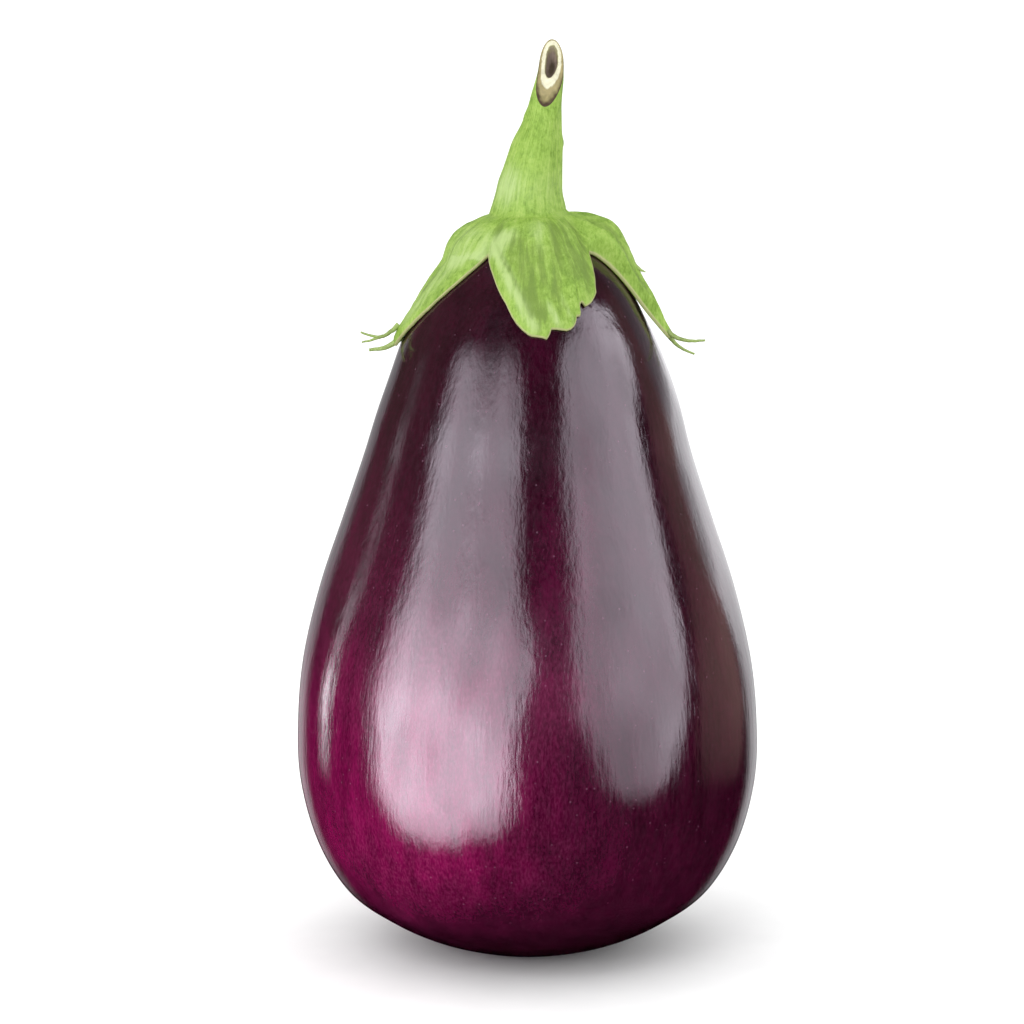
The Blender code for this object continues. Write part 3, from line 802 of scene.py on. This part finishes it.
# Each thread's radius at its root and at its tip, and its route. The last one is the thorn.
THREADS = [
    (0.75, 0.25, [
        (31.0, -0.6, 142.6), (32.8, -1.4, 140.9), (36.0, -2.2, 140.1), (38.4, -2.6, 140.1),
        (39.7, -2.8, 140.2)]),
    (0.7, 0.25, [(31.2, 0.4, 141.6), (33.0, 0.8, 139.2), (35.2, 1.2, 137.6), (37.5, 1.6, 136.5)]),
    (0.7, 0.22, [
        (-29.2, -2.0, 143.6), (-31.2, -3.0, 142.0), (-33.0, -3.6, 141.2), (-35.2, -4.0, 141.4),
        (-37.6, -4.4, 142.3)]),
    (0.45, 0.2, [(-32.6, -3.5, 141.3), (-35.0, -3.8, 140.5), (-37.4, -3.9, 139.9)]),
    (0.95, 0.35, [(-28.6, -1.0, 140.9), (-30.8, -0.8, 139.0), (-33.2, -0.8, 138.1), (-35.9, -0.8, 137.8)]),
    (1.7, 0.12, [(22.6, -0.9, 157.4), (24.3, -0.9, 156.3), (25.5, -0.9, 155.7), (26.3, -0.9, 155.4)]),
]


def add_thread(thick, thin, points):
    """One thread: a curve with a round section that tapers, made a mesh."""
    route = smooth_curve(points, 0.35)
    curve = bpy.data.curves.new("thread", "CURVE")
    curve.dimensions = "3D"
    curve.bevel_depth = MM
    curve.bevel_resolution = 3
    curve.use_fill_caps = True
    spline = curve.splines.new("POLY")
    spline.points.add(len(route) - 1)
    for i, (place, point) in enumerate(zip(route, spline.points)):
        share = i / (len(route) - 1)
        shake = 0.12 * noise.noise(Vector((i * 0.35, thick * 9.0, thin * 9.0)))
        point.co = (*((place + (0.0, shake, shake)) * MM), 1.0)
        point.radius = thick + (thin - thick) * share ** 0.6
    thread = bpy.data.objects.new("thread", curve)
    bpy.context.scene.collection.objects.link(thread)
    return thread


start_modelling()
threads = [add_thread(*thread) for thread in THREADS]
for thread in threads:
    thread.select_set(True)
bpy.context.view_layer.objects.active = threads[0]
bpy.ops.object.convert(target="MESH")
bpy.ops.object.join()
bpy.ops.object.mode_set(mode="EDIT")
bpy.ops.mesh.select_all(action="SELECT")
bpy.ops.mesh.remove_doubles(threshold=0.000001)
bpy.ops.mesh.normals_make_consistent(inside=False)
bpy.ops.object.mode_set(mode="OBJECT")
bpy.ops.object.shade_smooth()
threads = finish_piece("sepal_threads", "green_calyx", "calyx_and_stalk")

DRIED_DARK = (0.16, 0.22, 0.045)
DRIED_PALE = (0.26, 0.36, 0.09)


def thread_material():
    """Half-dried sepal tips: olive green going brown."""
    material, add, shader = new_material("dried_tips", Roughness=0.6)
    place = add("ShaderNodeTexCoord").outputs["Object"]
    broad, fine = grain(add, place, 900.0, 500.0)
    base = ramp(add, broad, (0.35, DRIED_DARK), (0.6, DRIED_PALE))
    material.node_tree.links.new(base, shader.inputs["Base Color"])
    bump = add("ShaderNodeBump", {"Height": fine, "Strength": 0.3, "Distance": 0.0003})
    material.node_tree.links.new(bump.outputs["Normal"], shader.inputs["Normal"])
    return material


threads.data.materials.clear()
threads.data.materials.append(thread_material())

# Table and studio
# A plain white table under an even white sky, a soft lamp at the left, and a ring of large glowing panels
# that the skin mirrors: softboxes to the left and right of the camera, and a thin strip, warm cards and two
# pale walls further round.

TABLE_SIZE = 24.0

start_modelling()
bpy.ops.mesh.primitive_plane_add(size=TABLE_SIZE, location=(0.0, 0.0, 0.0))
table = bpy.context.object
table.name = "table"
table.visible_glossy = False
material, add, shader = new_material("white_table", Roughness=0.8, Specular_IOR_Level=0.0)
place = add("ShaderNodeTexCoord").outputs["Object"]
paper = add("ShaderNodeTexNoise", {"Vector": place, "Scale": 60.0, "Detail": 4.0}).outputs["Fac"]
material.node_tree.links.new(ramp(add, paper, (0.3, 0.9), (0.7, 0.93)), shader.inputs["Base Color"])
table.data.materials.append(material)

# The panels bend round this point, in metres, each a step further out than the one before.
PANEL_CENTER = Vector((0.0, 0.0, 0.08))
PANEL_DISTANCE = 3.0
PANEL_STEP = 0.05
PANEL_CELLS = 64
WHITE_LIGHT = (0.98, 0.98, 1.0)
WARM_LIGHT = (1.0, 0.68, 0.56)
# A panel's patches: how wide and how high in degrees, how strong, and the place in the noise.
PATCHES = [(8.0, 14.0, 2.0, 0.0), (2.6, 7.0, 1.3, 5.0)]
# Each panel has its name, how many degrees its left and right sides fade over, how patchy it is, how much
# brighter its right side is, its colour and, from its bottom up, rows of elevation, left and right azimuth
# in degrees and glow.
PANELS = [
    ("softbox_left", (17, 4), 0.22, -0.12, WHITE_LIGHT, [
        (-38, -60, -34, 0.0), (-35.5, -68, -32, 2.8), (-33, -73, -30, 5.6), (-30, -78.5, -28, 7.0),
        (-20, -83.5, -27, 8.8), (-11, -87, -27, 9.8), (0, -88.5, -27, 9.4), (6, -87, -27, 8.1),
        (11, -85, -27, 6.7), (20, -81, -27, 5.4), (24, -80, -26, 4.7), (27, -79, -26, 3.8),
        (30, -78, -26, 2.7), (33, -76, -26, 1.4), (36, -72, -26, 0.65), (40, -60, -26, 0.25),
        (48, -50, -26, 0.1), (56, -44, -26, 0.0)]),
    ("softbox_left_inner", (4, 2.5), 0.16, -0.25, WHITE_LIGHT, [
        (-36, -30, -18, 0.0), (-33, -31, -14, 3.4), (-28, -31, -10, 5.2), (-20, -31, -8.5, 8.0),
        (-13, -31, -8, 8.6), (-8, -31, -7.5, 8.1), (-1, -31, -6, 6.5), (7, -31, -3, 5.1),
        (14, -30, 3, 4.8), (18, -30, 0, 4.6), (22, -30, -5, 4.1), (27, -30, -7, 3.6),
        (31, -30, -6, 3.0), (34, -30, -7, 1.8), (38, -30, -9, 0.9), (46, -30, -12, 0.0)]),
    ("gap_glow", (6, 6), 0.2, 0.0, WHITE_LIGHT, [
        (-12, -8, 34, 0.0), (-5, -6, 34, 0.12), (4, -2, 34, 0.2), (16, -2, 34, 0.22),
        (22, -4, 30, 0.16), (26, -4, 30, 0.1), (29, -4, 30, 0.0)]),
    ("softbox_right", (10, 3), 0.16, 0.3, WHITE_LIGHT, [
        (-21, 44, 56, 0.0), (-17, 38, 66, 1.2), (-13, 31, 74, 2.3), (-9, 27, 82, 2.9),
        (-4, 24, 87, 3.1), (2, 18, 90, 3.2), (8, 18, 91.5, 3.4), (12, 19, 92, 3.6),
        (15.5, 20, 93, 3.8), (18, 20, 95, 3.9), (19.5, 21, 104, 3.8), (22, 21, 109, 3.8),
        (27, 22, 109, 4.0), (33, 25, 99, 4.0), (38, 29, 90, 3.7), (42, 35, 80, 3.2),
        (45, 46, 72, 0.0)]),
    ("strip_left", (3, 3), 0.1, 0.0, WHITE_LIGHT, [
        (-17, -123, -118, 0.0), (-15, -124, -119, 2.0), (-13, -125, -119, 4.2), (-11, -125.5, -119, 6.2),
        (-7, -125.5, -117, 8.0), (-3, -123.5, -115.5, 7.0), (0, -121, -114.5, 3.6), (3, -120, -113, 2.8),
        (5, -118, -110.5, 2.2), (8, -116, -107, 1.6), (11, -115, -105, 0.8), (14, -114, -104, 0.3),
        (18, -114, -104, 0.0)]),
    ("card_left", (10, 10), 0.2, 0.0, WARM_LIGHT, [
        (-10, -142, -84, 0.0), (2, -146, -80, 0.1), (10, -146, -78, 0.15), (30, -140, -74, 0.16),
        (60, -120, -20, 0.14), (75, -100, -20, 0.0)]),
    ("card_right", (3, 3), 0.0, 0.0, WARM_LIGHT, [
        (-18, 100, 130, 0.0), (-10, 94, 140, 0.45), (0, 96, 136, 0.6), (10, 101, 126, 0.36),
        (24, 108, 126, 0.3), (34, 104, 124, 0.15), (60, 60, 120, 0.1), (75, 60, 120, 0.0)]),
    ("wall_right", (2, 2), 0.1, 0.0, WHITE_LIGHT, [
        (-30, 150, 166, 0.1), (-18, 146, 168, 0.7), (-10, 142, 172, 0.9), (-5, 141, 182, 1.3),
        (1, 133, 182, 2.0), (4, 129, 182, 1.0), (8.5, 124, 182, 0.4), (11, 124, 182, 0.4),
        (20, 124, 182, 0.2), (60, 124, 182, 0.2)]),
    ("wall_left", (4, 4), 0.1, 0.0, WHITE_LIGHT, [
        (-30, -166, -150, 0.1), (-16, -168, -148, 0.6), (-10, -172, -146, 0.6), (-5, -182, -144, 0.5),
        (8, -182, -140, 0.35), (40, -182, -130, 0.5), (60, -182, -120, 0.3)]),
    ("panel_top", (20, 20), 0.0, 0.0, WHITE_LIGHT, [
        (58, -180, 180, 0.0), (70, -180, 180, 0.4), (89, -180, 180, 0.5)]),
]


def add_panel(number, name, fades, mottle, tilt, color, rows):
    """A glowing sheet bent round the fruit, seen only in reflections, with sides that fade out. It lets the
    ones behind it shine through."""
    start_modelling()
    bpy.ops.mesh.primitive_grid_add(x_subdivisions=PANEL_CELLS, y_subdivisions=PANEL_CELLS, size=1.0)
    panel = bpy.context.object
    panel.name = name
    elevations, lefts, rights, glows = zip(*rows)
    levels = []
    distance = PANEL_DISTANCE + PANEL_STEP * number
    for vertex in panel.data.vertices:
        u, v = vertex.co.x + 0.5, vertex.co.y + 0.5
        elevation = elevations[0] + (elevations[-1] - elevations[0]) * v
        left, right, glow = (float(np.interp(elevation, elevations, row)) for row in (lefts, rights, glows))
        azimuth = left + (right - left) * u
        turn, rise = math.radians(azimuth), math.radians(elevation)
        away = Vector((math.sin(turn) * math.cos(rise), -math.cos(turn) * math.cos(rise), math.sin(rise)))
        vertex.co = PANEL_CENTER + away * distance
        inside = min(1.0, u * (right - left) / fades[0], (1.0 - u) * (right - left) / fades[1])
        patch = 1.0
        for wide, high, strength, seed in PATCHES:
            patch += mottle * strength * noise.noise(Vector((azimuth / wide, elevation / high, seed)))
        patch *= 1.0 + tilt * (2.0 * u - 1.0)
        levels.append(glow * patch * inside * inside * (3.0 - 2.0 * inside))
    panel.data.attributes.new("glow", "FLOAT", "POINT").data.foreach_set("value", levels)
    panel.visible_camera = panel.visible_diffuse = False
    material = bpy.data.materials.new(name)
    material.use_nodes = True
    material.node_tree.nodes.clear()
    add = node_setter(material.node_tree)
    glow = add("ShaderNodeAttribute", attribute_name="glow").outputs["Fac"]
    light = add("ShaderNodeEmission", {"Color": (*color, 1.0), "Strength": glow})
    through = add("ShaderNodeBsdfTransparent")
    both = add("ShaderNodeAddShader", {0: light.outputs[0], 1: through.outputs[0]})
    add("ShaderNodeOutputMaterial", {"Surface": both.outputs[0]})
    panel.data.materials.append(material)


for number, panel in enumerate(PANELS):
    add_panel(number, *panel)

# The lamp's place in metres, its power in watts and its width, and the strength of the white sky.
LAMP_PLACE = (-0.36, -0.8, 0.6)
LAMP_POWER = 2.2
LAMP_SIZE = 0.6
ROOM_LIGHT = 1.45

start_modelling()
bpy.ops.object.light_add(type="AREA", location=LAMP_PLACE)
lamp = bpy.context.object
lamp.name = "lamp_left"
lamp.data.energy = LAMP_POWER
lamp.data.shape = "SQUARE"
lamp.data.size = LAMP_SIZE
lamp.rotation_euler = (PANEL_CENTER - lamp.location).to_track_quat("-Z", "Y").to_euler()
lamp.visible_glossy = False

world = bpy.data.worlds.new("white_room")
world.use_nodes = True
world.cycles_visibility.glossy = False
bpy.context.scene.world = world
background = world.node_tree.nodes["Background"]
background.inputs["Color"].default_value = (1.0, 1.0, 1.0, 1.0)
background.inputs["Strength"].default_value = ROOM_LIGHT
bpy.context.scene.view_settings.view_transform = "Standard"

# Camera
# A long lens at a little under a metre, looking slightly down, as the photograph was taken. Its place was
# found by laying the fruit's outline over the one in the photograph.

CAMERA_LENS = 135.0
CAMERA_SENSOR = 36.0
CAMERA_ELEVATION = math.radians(10)
CAMERA_AIM = Vector((-0.0037, 0.0, 0.1006))
CAMERA_DISTANCE = 0.872

data = bpy.data.cameras.new("camera")
data.lens = CAMERA_LENS
data.sensor_width = CAMERA_SENSOR
data.clip_start, data.clip_end = 0.05, 50.0
camera = bpy.data.objects.new("camera", data)
bpy.context.scene.collection.objects.link(camera)
back = Vector((0.0, -math.cos(CAMERA_ELEVATION), math.sin(CAMERA_ELEVATION)))
camera.location = CAMERA_AIM + back * CAMERA_DISTANCE
camera.rotation_euler = (math.pi / 2 - CAMERA_ELEVATION, 0.0, 0.0)
bpy.context.scene.camera = camera
